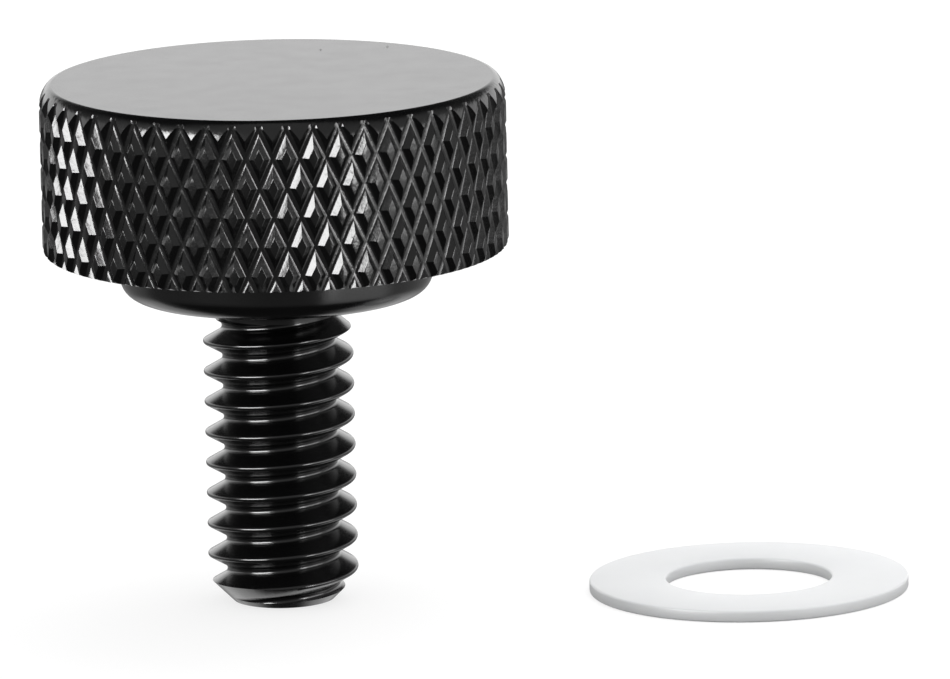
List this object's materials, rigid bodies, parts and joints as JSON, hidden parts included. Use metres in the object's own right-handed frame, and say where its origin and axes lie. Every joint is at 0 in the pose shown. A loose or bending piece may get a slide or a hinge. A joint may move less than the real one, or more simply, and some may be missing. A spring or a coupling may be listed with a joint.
{
  "type": "seat knob",
  "caption": "Black thumb screw with a diamond-knurled round head, a plain collar and a threaded shank, with a flat white nylon washer.",
  "frame": {"origin": "centre of the flat thread end, on the screw's axis", "axes": "+Z along the screw's axis from the thread end up to the head, +X from the screw's axis towards the washer"},
  "size_m": [0.0351, 0.019, 0.0216],
  "materials": {
    "black_coat": "satin gloss black coat over turned and knurled metal",
    "nylon": "smooth white nylon, slightly translucent"
  },
  "bodies": {
    "root": {"knob_screw": "black_coat", "washer": "nylon"}
  },
  "joints": []
}
